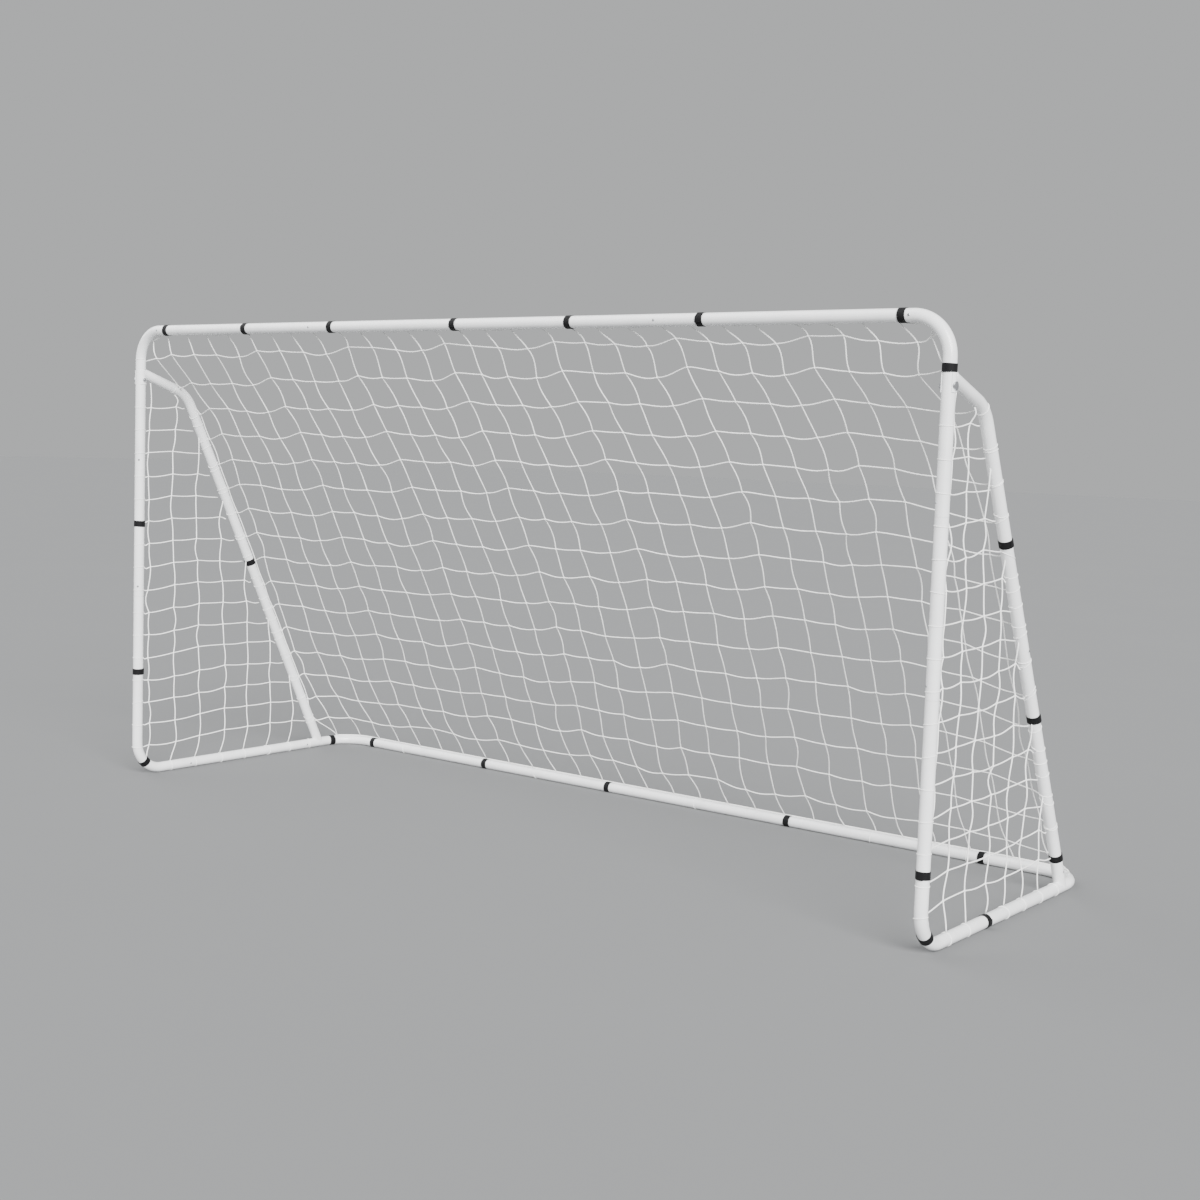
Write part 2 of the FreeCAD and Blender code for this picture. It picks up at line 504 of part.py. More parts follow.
def snap_joints(side, sign):
    """Where each snap button sits on its tube's axis, and how it is turned."""
    x = f"{sign} * {POST_X}"
    to_centre, from_centre = (AS_MADE, ABOUT) if sign < 0 else (ABOUT, AS_MADE)
    post_turn = ("rotationz(-post_button_angle * 1 deg)" if sign < 0
                 else "rotationz((180 + post_button_angle) * 1 deg)")
    inner_turn = AS_MADE if sign < 0 else "rotationy(180 deg)"
    outer_turn = ABOUT if sign < 0 else AS_MADE
    up_leg = f"({LEG_TO_SEAM} + button_offset)"
    return (
        ("crossbar_end", (f"{sign} * ({BAR_SEAM_X} + button_offset)", FRONT_Y, TOP_Z),
         f"rotationx(90 deg) * {to_centre}"),
        ("crossbar_centre", (f"{sign} * ({CENTRE_SEAM_X} - button_offset)", FRONT_Y, TOP_Z),
         f"rotationx(90 deg) * {from_centre}"),
        ("upper_post", (x, FRONT_Y, f"{UPPER_SEAM_Z} + button_offset"), f"{post_turn} * {FACING_X}"),
        ("lower_post", (x, FRONT_Y, "post_seam_height + button_offset"), f"{post_turn} * {FACING_X}"),
        ("side_front", (x, f"{FRONT_SEAM_Y} - button_offset", GROUND_Z),
         f"{inner_turn} * rotationz(90 deg) * rotationx(90 deg)"),
        ("side_rear", (x, f"{BACK_SEAM_Y} - button_offset", GROUND_Z),
         f"{inner_turn} * rotationz(90 deg) * rotationx(90 deg)"),
        ("rear_bar_end", (f"{sign} * ({REAR_SEAM_X} + button_offset)", REAR_Y, GROUND_Z),
         f"rotationx(-90 deg) * {to_centre}"),
        ("rear_bar_centre", (f"{sign} * ({CENTRE_SEAM_X} - button_offset)", REAR_Y, GROUND_Z),
         f"rotationx(-90 deg) * {from_centre}"),
        ("brace_middle", (x, f"{FOOT_Y} - {up_leg} * sin({LEG_LEAN})",
                          f"{GROUND_Z} + {up_leg} * cos({LEG_LEAN})"),
         f"{LEANING} * {outer_turn} * {FACING_X}"),
        ("brace_foot", (x, f"{FOOT_Y} - stub_button_reach * sin({LEG_LEAN})",
                        f"{GROUND_Z} + stub_button_reach * cos({LEG_LEAN})"),
         f"{LEANING} * {outer_turn} * {FACING_X} * {ABOUT}"),
    )


def strap(name, at, turn, on_floor=False):
    """A band round a straight tube. One under a ground tube is pressed flat at the floor, its own +X."""
    ring = cylinder(f"{name}_outside", STRAP_R, "strap_width", ("0", "0", "-strap_width / 2"))
    tools = [cylinder(f"{name}_inside", STRAP_BORE_R, "2 * strap_width", ("0", "0", "-strap_width"))]
    if on_floor:
        tools.append(box(f"{name}_floor", ("strap_width", "2 * tube_diameter", "2 * strap_width"),
                         (TUBE_R, "-tube_diameter", "-strap_width")))
    return place(cut(name, ring, tools), at, turn)


def bend_strap(name, radius, angle, at, turn, on_floor=False):
    """A band round a bend, `angle` degrees along it."""
    sweep = f"(strap_width / {radius} * 180 / pi * 1 deg)"
    start = f"rotationz({angle} * 1 deg - {sweep} / 2)"
    ring = bend(f"{name}_outside", radius, STRAP_R, sweep, ("0", "0", "0"), start)
    tools = [bend(f"{name}_inside", radius, STRAP_BORE_R, sweep, ("0", "0", "0"), start)]
    if on_floor:
        tools.append(box(f"{name}_floor", (f"4 * {radius}", f"4 * {radius}", "strap_width"),
                         (f"-2 * {radius}", f"-2 * {radius}", TUBE_R)))
    return place(cut(name, ring, tools), at, turn)


def bar_straps(node, run, straps, y, z, turn, on_floor):
    """The straps along the crossbar or the rear bar."""
    origins = {"left": f"-{POST_X} + ", "middle": "", "right": f"{POST_X} - "}
    rings = []
    for number, (origin, _) in enumerate(straps, 1):
        x = f"{origins[origin]}{run}_strap{number}"
        rings.append(strap(f"{node}_{number}", (x, y, z), turn, on_floor))
    return group(node, rings)


def post_straps(node, run, straps, sign):
    """The straps up one post."""
    rings = []
    for number, (origin, _) in enumerate(straps, 1):
        z = f"{run}_strap{number}" if origin == "ground" else f"{TOP_Z} - {run}_strap{number}"
        rings.append(strap(f"{node}_{number}", (f"{sign} * {POST_X}", FRONT_Y, z), AS_MADE))
    return group(node, rings)


def brace_straps():
    """The straps on both braces, each placed by its height."""
    rings = []
    for run, straps, sign in (("leftbrace", LEFT_BRACE_STRAPS, -1), ("rightbrace", RIGHT_BRACE_STRAPS, 1)):
        for number, _ in enumerate(straps, 1):
            z = f"{run}_strap{number}"
            y = f"{FOOT_Y} - ({z} - {GROUND_Z}) * tan({LEG_LEAN})"
            rings.append(strap(f"{run}_strap_{number}", (f"{sign} * {POST_X}", y, z), LEANING))
    return group("brace_straps", rings)


def corner_straps():
    """The straps on the two bottom bends and the left rear bend."""
    elbow = "rotationx(-90 deg) * rotationy(90 deg)"
    y = f"{FRONT_Y} + bottom_bend_radius"
    z = f"{GROUND_Z} + bottom_bend_radius"
    left = bend_strap("left_elbow_band", "bottom_bend_radius", "left_elbow_strap",
                      (f"-{POST_X}", y, z), elbow)
    right = bend_strap("right_elbow_band", "bottom_bend_radius", "right_elbow_strap",
                       (POST_X, y, z), elbow)
    rear = bend_strap("rear_elbow_band", "rear_bend_radius", "rear_elbow_strap",
                      (f"-{POST_X} + rear_bend_radius", f"{REAR_Y} - rear_bend_radius", GROUND_Z),
                      "rotationy(180 deg)", True)
    return group("corner_straps", [left, right, rear])


def side_tube_straps():
    """The strap on the right side ground tube."""
    return strap("side_tube_strap_band", (POST_X, f"{FRONT_Y} + side_tube_strap", GROUND_Z),
                 "rotationz(90 deg) * rotationy(90 deg)", True)


def outline(body, plane, corners):
    """A closed polygon in one of a body's own planes. Each corner's two distances are bound."""
    sketch = body.newObject("Sketcher::SketchObject", f"{body.Name}_outline")
    origin_plane = [f for f in body.Origin.OriginFeatures if f.Role == plane][0]
    sketch.AttachmentSupport = [(origin_plane, "")]
    sketch.MapMode = "FlatFace"
    probe = doc.addObject("Part::Box", f"{body.Name}_probe")
    spots = []
    for pair in corners:
        spots.append([measure(probe, text) for text in pair])
    doc.removeObject(probe.Name)
    for number, spot in enumerate(spots):
        following = spots[(number + 1) % len(spots)]
        sketch.addGeometry(Part.LineSegment(FreeCAD.Vector(*spot, 0), FreeCAD.Vector(*following, 0)), False)
    for number, pair in enumerate(corners):
        previous = (number - 1) % len(corners)
        sketch.addConstraint(Sketcher.Constraint("Coincident", previous, 2, number, 1))
        for kind, axis, text, value in zip(("DistanceX", "DistanceY"), (-2, -1), pair, spots[number]):
            if text == "0":
                sketch.addConstraint(Sketcher.Constraint("PointOnObject", number, 1, axis))
                continue
            index = sketch.addConstraint(Sketcher.Constraint(kind, -1, 1, number, 1, value))
            bind(sketch, f"Constraints[{index}]", text)
    return sketch


def measure(probe, text):
    """The present value of a length that is written in the sheet's names."""
    bind(probe, "Length", f"({text}) + 1")
    doc.recompute()
    return probe.Length.Value - 1


def panel(name, plane, corners):
    """A thin plate over an outline, half its thickness on each side of the plane."""
    body = doc.addObject("PartDesign::Body", f"{name}_plate")
    sketch = outline(body, plane, corners)
    pad = body.newObject("PartDesign::Pad", f"{name}_pad")
    pad.Profile = sketch
    pad.Midplane = True
    bind(pad, "Length", "net_depth")
    return body


def back_net():
    """The sloping net from the crossbar to the rear bar, between the braces."""
    across = f"(post_spacing - 2 * {NET_EDGE_R})"
    rise = f"({TOP_Z} - {GROUND_Z})"
    slope = f"sqrt({rise} ^ 2 + base_depth ^ 2)"
    far = f"{across} - net_corner_across"
    low = f"{slope} - net_corner_along"
    corners = (("net_corner_across", "0"), (far, "0"), (across, "net_corner_along"), (across, low),
               (far, slope), ("net_corner_across", slope), ("0", low), ("0", "net_corner_along"))
    plate = panel("back_net", "XY_Plane", corners)
    bars_cut = [cylinder(f"back_net_{bar}_room", NET_EDGE_R, across, ("0", y, "0"), FACING_X)
                for bar, y in (("crossbar", "0"), ("rear_bar", slope))]
    net = cut("back_net", plate, bars_cut)
    return place(net, (f"-{across} / 2", FRONT_Y, TOP_Z), f"rotationx(-atan2({rise}; base_depth))")


def side_net(side, sign):
    """The net between a post, its brace and the side ground tube."""
    name = f"{side}_side_net"
    chord = "bottom_bend_radius * (1 - cos(45 deg))"
    foot = "base_depth - brace_foot_inset"
    corners = (("0", f"{GROUND_Z} + bottom_bend_radius"), (chord, f"{GROUND_Z} + {chord}"),
               ("bottom_bend_radius", GROUND_Z), (foot, GROUND_Z), ("brace_bend_out", BEND_Z), ("0", HEAD_Z))
    plate = panel(name, "YZ_Plane", corners)
    bend_centre = ("0",
                   f"brace_bend_out + {BEND_TRIM} * sin({LEG_LEAN}) - brace_bend_radius * cos({LEG_LEAN})",
                   f"{BEND_Z} - {BEND_TRIM} * cos({LEG_LEAN}) - brace_bend_radius * sin({LEG_LEAN})")
    room = [
        cylinder(f"{name}_post_room", NET_EDGE_R, "outer_height"),
        cylinder(f"{name}_ground_room", NET_EDGE_R, "base_depth", ("0", "0", GROUND_Z), ALONG_Y),
        bend(f"{name}_elbow_room", "bottom_bend_radius", NET_EDGE_R, "90 deg",
             ("0", "bottom_bend_radius", f"{GROUND_Z} + bottom_bend_radius"),
             "rotationx(-90 deg) * rotationy(90 deg)"),
        cylinder(f"{name}_leg_room", NET_EDGE_R, LEG_LENGTH, ("0", foot, GROUND_Z), LEANING),
        cylinder(f"{name}_head_room", NET_EDGE_R, f"brace_bend_out / cos({HEAD_SLOPE})",
                 ("0", "brace_bend_out", BEND_Z), f"rotationx(90 deg - {HEAD_SLOPE})"),
        bend(f"{name}_bend_room", "brace_bend_radius", NET_EDGE_R, BRACE_BEND, bend_centre,
             f"{LEANING} * rotationz(90 deg) * rotationx(90 deg)"),
    ]
    return place(cut_in_turn(name, plate, room), (f"{sign} * {POST_X}", FRONT_Y, "0"))


def build():
    """Every node of the goal."""
    make_sheet()
    doc.recompute()
    nodes = bars()
    bolts, nuts, legs = [], [], []
    for side, sign in SIDES:
        for section in (top_corner, middle_post, bottom_corner, side_tube, rear_corner,
                        brace_leg, brace_stub, brace_top, brace_saddle):
            nodes.append(section(side, sign))
        bolts.append(brace_bolt(side, sign))
        nuts.append(brace_nut(side, sign))
        for spot, at, turn in snap_joints(side, sign):
            nodes.append(snap_button(f"{side}_{spot}_button", at, turn))
            legs.append(spring_leg(f"{side}_{spot}_spring_leg", at, turn))
        nodes.append(side_net(side, sign))
    nodes += [group("brace_bolts", bolts), group("brace_nuts", nuts), group("button_spring_legs", legs)]
    nodes.append(bar_straps("crossbar_straps", "crossbar", CROSSBAR_STRAPS, FRONT_Y, TOP_Z,
                            ALONG_X_FACING_FRONT, False))
    nodes.append(bar_straps("rear_bar_straps", "rear", REAR_BAR_STRAPS, REAR_Y, GROUND_Z,
                            "rotationy(90 deg)", True))
    nodes.append(post_straps("left_post_straps", "leftpost", LEFT_POST_STRAPS, -1))
    nodes.append(post_straps("right_post_straps", "rightpost", RIGHT_POST_STRAPS, 1))
    nodes += [brace_straps(), corner_straps(), back_net()]
    lone = side_tube_straps()
    lone.Label = "side_tube_strap"
    nodes.append(lone)
    doc.recompute()
    return nodes


def check(nodes):
    """Stop if anything in the document failed, or a node isn't a sound solid."""
    for item in doc.Objects:
        if "Invalid" in item.State or "Error" in item.State:
            raise RuntimeError(f"{item.Label} failed: {item.State}")
    for node in nodes:
        if node.Shape.isNull() or not node.Shape.isValid() or not node.Shape.Solids:
            raise RuntimeError(f"{node.Label} is not a sound solid")


def export(nodes):
    """One STEP file per node."""
    os.makedirs("parts", exist_ok=True)
    for node in nodes:
        node.Shape.exportStep(f"parts/{node.Label}.step")


goal = build()
check(goal)
export(goal)
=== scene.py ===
import json
import math
import bpy
import numpy as np
from mathutils import Matrix, Vector


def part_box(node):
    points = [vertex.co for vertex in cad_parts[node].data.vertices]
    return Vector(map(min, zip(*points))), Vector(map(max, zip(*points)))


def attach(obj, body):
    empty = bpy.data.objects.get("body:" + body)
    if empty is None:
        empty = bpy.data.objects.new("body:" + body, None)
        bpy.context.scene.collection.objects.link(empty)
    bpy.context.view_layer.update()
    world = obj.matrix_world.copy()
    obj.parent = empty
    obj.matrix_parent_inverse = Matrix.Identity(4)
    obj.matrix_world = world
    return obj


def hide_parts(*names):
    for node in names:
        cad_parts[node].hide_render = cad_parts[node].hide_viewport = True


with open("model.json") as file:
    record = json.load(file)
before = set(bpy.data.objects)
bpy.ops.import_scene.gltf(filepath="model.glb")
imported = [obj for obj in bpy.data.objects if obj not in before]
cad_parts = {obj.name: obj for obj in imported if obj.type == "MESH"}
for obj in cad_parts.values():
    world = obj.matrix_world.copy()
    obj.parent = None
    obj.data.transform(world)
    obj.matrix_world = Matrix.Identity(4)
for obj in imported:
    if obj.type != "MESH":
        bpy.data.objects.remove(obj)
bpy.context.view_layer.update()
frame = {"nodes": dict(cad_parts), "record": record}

rng = np.random.default_rng(11)

# ---------------------------------------------------------------- places taken from the frame, in metres
crossbar_low, crossbar_high = (np.array(c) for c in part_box("crossbar_centre"))
rear_low, rear_high = (np.array(c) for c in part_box("rear_bar_centre"))
post_low, post_high = (np.array(c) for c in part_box("right_middle_post"))
TUBE = float(crossbar_high[2] - crossbar_low[2]) / 2
FRONT_Y = float(crossbar_low[1] + crossbar_high[1]) / 2
TOP_Z = float(crossbar_low[2] + crossbar_high[2]) / 2
REAR_Y = float(rear_low[1] + rear_high[1]) / 2
GROUND_Z = float(rear_low[2] + rear_high[2]) / 2
POST_X = float(post_low[0] + post_high[0]) / 2
DEPTH = REAR_Y - FRONT_Y
SLOPE = math.hypot(DEPTH, TOP_Z - GROUND_Z)

# The brace's centre line and the bends, as made.
BRACE_HEAD_DROP, BRACE_BEND_OUT, BRACE_BEND_DROP = 0.165, 0.230, 0.080
BRACE_FOOT_INSET, BRACE_BEND_RADIUS = 0.178, 0.130
TOP_BEND, BOTTOM_BEND, REAR_BEND = 0.118, 0.118, 0.135
SADDLE_RADIUS = 0.0221

TWINE = 0.0021
CLEAR = TUBE + TWINE + 0.0004
LOOP_TWINE = 0.0011
LOOP_RADIUS = TUBE + 0.0008
COLUMNS, ROWS = 29, 17
SIDE_ROW, SIDE_TOP_ROW, SIDE_ROWS = 0.0925, 1.505, 16
SIDE_COLUMNS = (0.048, 0.168, 0.296, 0.430, 0.560, 0.690, 0.818, 0.940)


# ---------------------------------------------------------------- shader values and finishes
class Value:
    """One shader value. Python's operators on it add Math nodes."""

    def __init__(self, finish, socket):
        self.finish = finish
        self.socket = socket

    def math(self, operation, *others):
        return self.finish.node("ShaderNodeMath", {"operation": operation}, *[self, *others])[0]

    def __add__(self, other):
        return self.math("ADD", other)

    def __sub__(self, other):
        return self.math("SUBTRACT", other)

    def __rsub__(self, other):
        return self.finish.node("ShaderNodeMath", {"operation": "SUBTRACT"}, other, self)[0]

    def __mul__(self, other):
        return self.math("MULTIPLY", other)

    __radd__ = __add__
    __rmul__ = __mul__

    def wave(self):
        """The sine of the value."""
        return self.math("SINE")

    def step(self, low, high):
        """A smooth rise from 0 at low to 1 at high."""
        return self.finish.node("ShaderNodeMapRange", {"interpolation_type": "SMOOTHSTEP"},
                                self, low, high, 0.0, 1.0)[0]


class Finish:
    """One material: a Principled surface and the nodes that feed it."""

    def __init__(self, name, **fixed):
        self.material = bpy.data.materials.new(name)
        self.material.use_nodes = True
        self.tree = self.material.node_tree
        self.surface = self.tree.nodes["Principled BSDF"]
        for socket, value in fixed.items():
            self.surface.inputs[socket.replace("_", " ")].default_value = value

    def node(self, kind, settings, *values, **named):
        """A node of that kind, its settings made first, then its sockets in order or by name."""
        node = self.tree.nodes.new(kind)
        for setting, value in settings.items():
            setattr(node, setting, value)
        pairs = list(zip(node.inputs, values))
        pairs += [(node.inputs[key.replace("_", " ")], value) for key, value in named.items()]
        for socket, value in pairs:
            self.feed(socket, value)
        return [Value(self, out) for out in node.outputs]

    def feed(self, socket, value):
        if isinstance(value, Value):
            self.tree.links.new(value.socket, socket)
        else:
            socket.default_value = value

    def place(self):
        """Object coordinates."""
        return self.node("ShaderNodeTexCoord", {})[3]

    def uv(self):
        """The piece's own U and V."""
        across = self.node("ShaderNodeUVMap", {"uv_map": "twist"})[0]
        parts = self.node("ShaderNodeSeparateXYZ", {}, across)
        return parts[0], parts[1]

    def noise(self, at, scale, detail=3.0, roughness=0.55):
        return self.node("ShaderNodeTexNoise", {}, Vector=at, Scale=scale, Detail=detail,
                         Roughness=roughness)[0]

    def mix(self, factor, first, second):
        """Two colours mixed by a value."""
        mixer = self.tree.nodes.new("ShaderNodeMix")
        mixer.data_type = "RGBA"
        self.feed(mixer.inputs[0], factor)
        self.feed(mixer.inputs[6], first)
        self.feed(mixer.inputs[7], second)
        return Value(self, mixer.outputs[2])

    def set(self, socket, value):
        self.feed(self.surface.inputs[socket], value)

    def relief(self, height, distance, strength=1.0):
        self.set("Normal", self.node("ShaderNodeBump", {}, Height=height, Distance=distance,
                                     Strength=strength)[0])


def powder_coat():
    """Glossy white powder coat: a fine orange peel, faint handling smudges and a few dull scuffs."""
    finish = Finish("white powder coat", Coat_Weight=0.25, Coat_Roughness=0.12, IOR=1.5)
    at = finish.place()
    peel = finish.noise(at, 420.0, 2.0)
    smudge = finish.noise(at, 7.0, 5.0, 0.6).step(0.42, 0.70)
    scuff = finish.noise(at, 38.0, 6.0, 0.72).step(0.60, 0.76)
    finish.set("Base Color", finish.mix(smudge * 0.55 + scuff * 0.35, (0.86, 0.865, 0.87, 1),
                                        (0.74, 0.745, 0.75, 1)))
    finish.set("Roughness", 0.26 + smudge * 0.10 + scuff * 0.14)
    finish.relief(peel + scuff * 0.3, 0.00012, 0.55)
    return finish.material


def strap_tape():
    """Black hook-and-loop tape: ribs across the band, a woven edge, a painted highlight on the crests of the
    ribs and weave, and a little lint.
    """
    finish = Finish("black hook-and-loop tape", Sheen_Weight=0.02, Specular_IOR_Level=0.12)
    along, across = finish.uv()
    ribs = (along * 2600.0).wave() * 0.5 + 0.5
    weave = (across * 1900.0).wave() * 0.5 + 0.5
    lint = finish.noise(finish.place(), 900.0, 3.0).step(0.56, 0.74)
    # Painted highlight: the colour lightens where rib and weave crests meet, where the bump is highest. The
    # lint is real.
    finish.set("Base Color", finish.mix(ribs * weave * 0.5 + lint * 0.5, (0.004, 0.004, 0.0045, 1),
                                        (0.022, 0.022, 0.024, 1)))
    finish.set("Roughness", 0.62 + lint * 0.22)
    finish.relief(ribs * 0.7 + weave * 0.3 + lint * 0.4, 0.0004, 0.8)
    return finish.material


def net_twine():
    """White braided twine: diagonal strands round the cord, painted shade in the grooves between the
    strands, and faint dust in the lay.
    """
    finish = Finish("white net twine", Sheen_Weight=0.2)
    along, round_cord = finish.uv()
    lay = (along * 2100.0 + round_cord * (4 * math.pi)).wave() * 0.5 + 0.5
    counter = (along * 2100.0 - round_cord * (4 * math.pi)).wave() * 0.5 + 0.5
    dust = finish.noise(finish.place(), 14.0, 4.0).step(0.45, 0.75)
    # Painted shade: the colour darkens between the braid's crests, where the bump is low. The dust is real.
    finish.set("Base Color", finish.mix((1 - lay * counter) * 0.25 + dust * 0.2, (0.95, 0.95, 0.94, 1),
                                        (0.78, 0.78, 0.75, 1)))
    finish.set("Roughness", 0.70 + dust * 0.12)
    finish.relief(lay * 0.6 + counter * 0.4, 0.0002, 0.6)
    return finish.material


def plated_steel(name, colour, dull):
    """Zinc plated or bare steel: fine grain and cloudy patches in the plating."""
    finish = Finish(name, Metallic=1.0)
    at = finish.place()
    cloud = finish.noise(at, 90.0, 4.0).step(0.40, 0.68)
    grain = finish.noise(at, 1500.0, 2.0)
    finish.set("Base Color", finish.mix(cloud, colour, tuple(0.8 * c for c in colour[:3]) + (1,)))
    finish.set("Roughness", dull + cloud * 0.12 + grain * 0.05)
    finish.relief(grain, 0.00005, 0.4)
    return finish.material


def pale_floor():
    """A plain pale floor, slightly uneven in its gloss."""
    finish = Finish("pale floor", Specular_IOR_Level=0.0)
    soft = finish.noise(finish.place(), 0.8, 3.0)
    finish.set("Base Color", finish.mix(soft, (0.197, 0.2005, 0.203, 1), (0.204, 0.2075, 0.210, 1)))
    finish.set("Roughness", 0.78 + soft * 0.08)
    return finish.material


COAT = powder_coat()
TAPE = strap_tape()
CORD = net_twine()
ZINC = plated_steel("zinc plated steel", (0.66, 0.67, 0.69, 1), 0.30)
SPRING = plated_steel("bare spring steel", (0.56, 0.57, 0.59, 1), 0.24)


# ---------------------------------------------------------------- meshes from arrays
class Pile:
    """Parts of one piece, gathered as arrays and made into one mesh."""

    def __init__(self):
        self.points, self.quads, self.caps, self.uvs, self.cap_uvs = [], [], [], [], []
        self.count = 0

    def grid(self, points, u, v):
        """Tubes from an array (tube, along, round, xyz): each ring joined to the next, both ends capped.
        u is the length along, v the turn round."""
        tubes, along, around, _ = points.shape
        index = self.count + np.arange(tubes * along * around).reshape(tubes, along, around)
        nxt = np.roll(index, -1, axis=2)
        quads = np.stack([index[:, :-1], nxt[:, :-1], nxt[:, 1:], index[:, 1:]], axis=-1).reshape(-1, 4)
        u_low, u_high = u[:, :-1, None], u[:, 1:, None]
        v_low = np.broadcast_to(v[:-1], (tubes, along - 1, around))
        v_high = np.broadcast_to(v[1:], (tubes, along - 1, around))
        u_low, u_high = np.broadcast_to(u_low, v_low.shape), np.broadcast_to(u_high, v_low.shape)
        uv = np.stack([u_low, v_low, u_low, v_high, u_high, v_high, u_high, v_low], axis=-1)
        self.points.append(points.reshape(-1, 3))
        self.quads.append(quads)
        self.uvs.append(uv.reshape(-1, 2))
        for end, order in ((0, -1), (-1, 1)):
            rim = index[:, end, ::order]
            self.caps += rim.tolist()
            self.cap_uvs.append(np.zeros((rim.size, 2)))
        self.count += tubes * along * around

    def cord(self, paths, radius, sides=8, hint=(0.31, 0.17, 0.93)):
        """Round cords along paths (path, point, xyz): a circle of that radius square to the path at each
        point. The circle is turned by the hint, a direction that the path never follows."""
        paths = np.asarray(paths, float)
        radius = np.broadcast_to(np.asarray(radius, float), paths.shape[:2])
        ahead = np.gradient(paths, axis=1)
        ahead /= np.linalg.norm(ahead, axis=2, keepdims=True)
        hint = np.broadcast_to(np.asarray(hint, float), paths.shape)
        first = np.cross(ahead, hint)
        first /= np.linalg.norm(first, axis=2, keepdims=True)
        second = np.cross(ahead, first)
        turn = np.linspace(0, 2 * math.pi, sides, endpoint=False)[None, None, :, None]
        ring = first[:, :, None] * np.cos(turn) + second[:, :, None] * np.sin(turn)
        points = paths[:, :, None] + ring * radius[:, :, None, None]
        step = np.linalg.norm(np.diff(paths, axis=1), axis=2)
        length = np.concatenate([np.zeros((len(paths), 1)), np.cumsum(step, axis=1)], axis=1)
        self.grid(points, length, np.linspace(0, 1, sides + 1))

    def make(self, name, material, slot, nodes=()):
        """The finished piece, riding on the frame."""
        mesh = bpy.data.meshes.new(name)
        points, quads = np.concatenate(self.points), np.concatenate(self.quads)
        points[:, 2] = np.maximum(points[:, 2], 0)
        mesh.from_pydata(points.tolist(), [], quads.tolist() + self.caps)
        layer = mesh.uv_layers.new(name="twist")
        layer.data.foreach_set("uv", np.concatenate(self.uvs + self.cap_uvs).ravel())
        mesh.shade_smooth()
        mesh.materials.append(material)
        piece = bpy.data.objects.new(name, mesh)
        bpy.context.scene.collection.objects.link(piece)
        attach(piece, "frame")
        if nodes:
            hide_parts(*nodes)
        return piece


def through(knots, steps):
    """A smooth path through knots (path, knot, xyz): a Catmull-Rom curve with that many steps a span."""
    knots = np.asarray(knots, float)
    before = 2 * knots[:, :1] - knots[:, 1:2]
    after = 2 * knots[:, -1:] - knots[:, -2:-1]
    full = np.concatenate([before, knots, after], axis=1)
    a, b, c, d = (full[:, i:full.shape[1] - 3 + i, None] for i in range(4))
    t = (np.arange(steps) / steps)[None, None, :, None]
    path = 0.5 * (2 * b + (c - a) * t + (2 * a - 5 * b + 4 * c - d) * t ** 2
                  + (3 * b - a - 3 * c + d) * t ** 3)
    return np.concatenate([path.reshape(len(knots), -1, 3), knots[:, -1:]], axis=1)


def bowed(path, steps, amounts, direction):
    """The path with each span bowed by its own amount: half a sine wave between two knots."""
    spans = amounts.shape[1]
    swell = np.sin(math.pi * np.arange(steps) / steps)
    bow = (amounts[:, :, None] * swell).reshape(len(path), spans * steps)
    bow = np.concatenate([bow, np.zeros((len(path), 1))], axis=1)
    return path + bow[:, :, None] * np.asarray(direction, float)


def unit(vector):
    vector = np.asarray(vector, float)
    return vector / np.linalg.norm(vector)


# ---------------------------------------------------------------- centre lines
def brace_line():
    """The brace's centre line as (y, z) points from head to foot: a straight, an arc and a straight.
    The second value is the direction of the first straight."""
    head = np.array([FRONT_Y, TOP_Z - BRACE_HEAD_DROP])
    bend = head + (BRACE_BEND_OUT, -BRACE_BEND_DROP)
    foot = np.array([REAR_Y - BRACE_FOOT_INSET, GROUND_Z])
    back, down = unit(bend - head), unit(foot - bend)
    turn = math.acos(float(back @ down))
    trim = BRACE_BEND_RADIUS * math.tan(turn / 2)
    start = bend - back * trim
    inward = np.array([back[1], -back[0]])
    angle = np.linspace(0, turn, 12)[:, None]
    arc = start + BRACE_BEND_RADIUS * (back * np.sin(angle) + inward * (1 - np.cos(angle)))
    return np.concatenate([[head], arc, [foot]]), np.append(0, back)


BRACE, HEAD_BACK = brace_line()


def brace_y(z):
    return np.interp(z, BRACE[::-1, 1], BRACE[::-1, 0])


def brace_z(y):
    return np.interp(y, BRACE[:, 0], BRACE[:, 1])


def brace_axes(z):
    """The brace's direction, pointing down, at each height."""
    z = np.atleast_1d(np.asarray(z, float))
    reach = 0.008
    back = brace_y(z - reach) - brace_y(z + reach)
    ahead = np.stack([np.zeros_like(z), back, np.full_like(z, -2 * reach)], axis=-1)
    return ahead / np.linalg.norm(ahead, axis=1, keepdims=True)


def side_rail_z(y):
    """Height of the bottom corner and side ground tube's centre line at a depth y."""
    left = np.clip(BOTTOM_BEND - (y - FRONT_Y), 0, BOTTOM_BEND)
    return GROUND_Z + BOTTOM_BEND - np.sqrt(BOTTOM_BEND ** 2 - left ** 2)


def crossbar_z(x):
    """Height of the crossbar's centre line, bends included, at a place x."""
    past = np.clip(np.abs(x) - (POST_X - TOP_BEND), 0, TOP_BEND)
    return TOP_Z - TOP_BEND + np.sqrt(TOP_BEND ** 2 - past ** 2)


def post_x(z):
    """Distance from the middle of the goal to a post's centre line at a height, top bend included."""
    above = np.clip(z - (TOP_Z - TOP_BEND), 0, TOP_BEND)
    return POST_X - TOP_BEND + np.sqrt(TOP_BEND ** 2 - above ** 2)


def rear_bar_y(x):
    """Depth of the rear bar's centre line, bends included, at a place x."""
    past = np.clip(np.abs(x) - (POST_X - REAR_BEND), 0, REAR_BEND)
    return REAR_Y - REAR_BEND + np.sqrt(REAR_BEND ** 2 - past ** 2)


